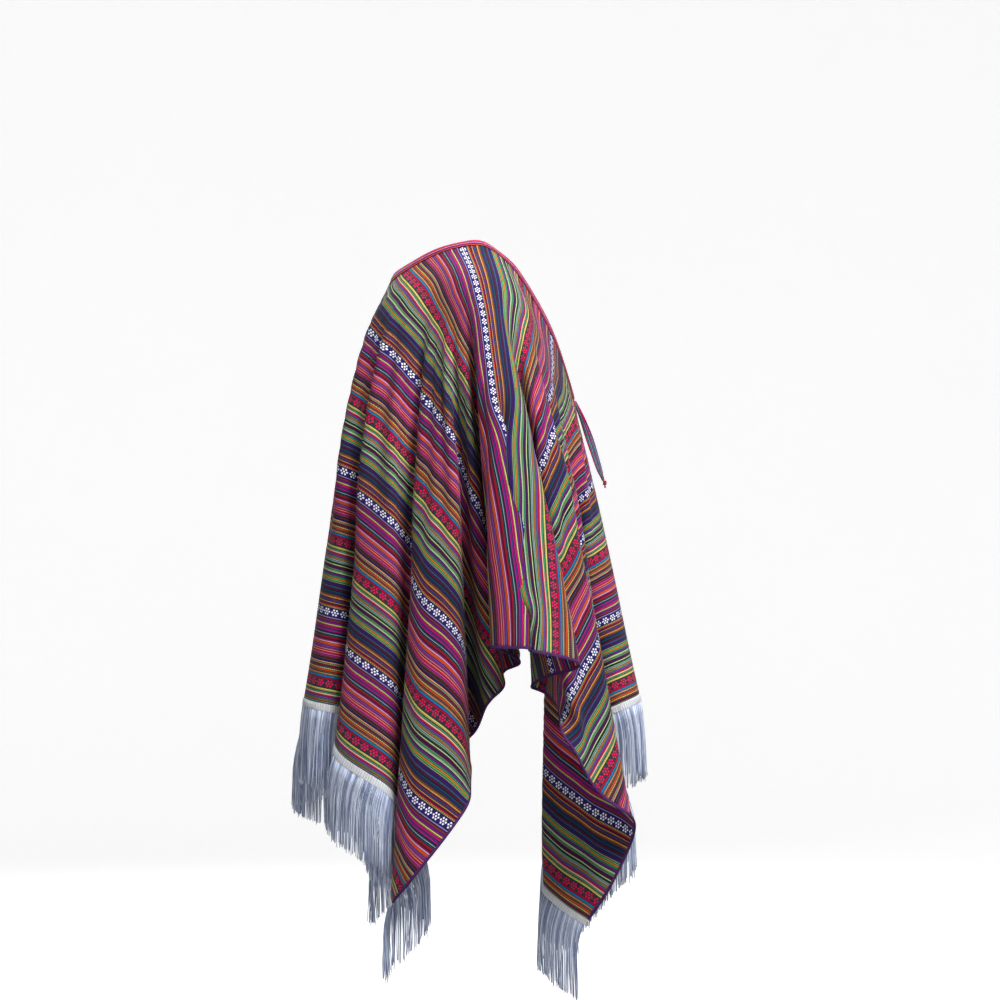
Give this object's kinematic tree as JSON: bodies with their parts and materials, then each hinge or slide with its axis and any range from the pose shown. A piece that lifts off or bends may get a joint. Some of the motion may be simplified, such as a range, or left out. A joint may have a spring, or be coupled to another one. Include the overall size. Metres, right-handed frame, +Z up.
{
  "type": "poncho",
  "caption": "Woven striped poncho in its worn hollow form, slit at the neck, with overlocked sides, a fringe on the front and back hems, and a thin tie at the throat.",
  "frame": {"origin": "between the shoulders and just under the neck opening, where the wearer carries the cloth", "axes": "+Z up, -Y the wearer's front, +X the wearer's left"},
  "size_m": [0.6865, 0.5418, 1.0609],
  "materials": {
    "woven_cloth": "matt weave with crosswise stripes",
    "woven_tape": "matt narrow woven tape",
    "overlock_thread": "dull purple sewing thread",
    "header_braid": "soft white braid",
    "rayon_fringe": "silky white rayon strands"
  },
  "bodies": {
    "root": {"cloth": "woven_cloth", "neck_binding": "woven_tape", "side_edge_right": "overlock_thread", "side_edge_left": "overlock_thread", "header_back": "header_braid", "header_front": "header_braid", "fringe_back": "rayon_fringe", "fringe_front": "rayon_fringe", "tie_right": "woven_tape", "tie_left": "woven_tape", "tie_knot": "woven_tape"}
  },
  "joints": []
}
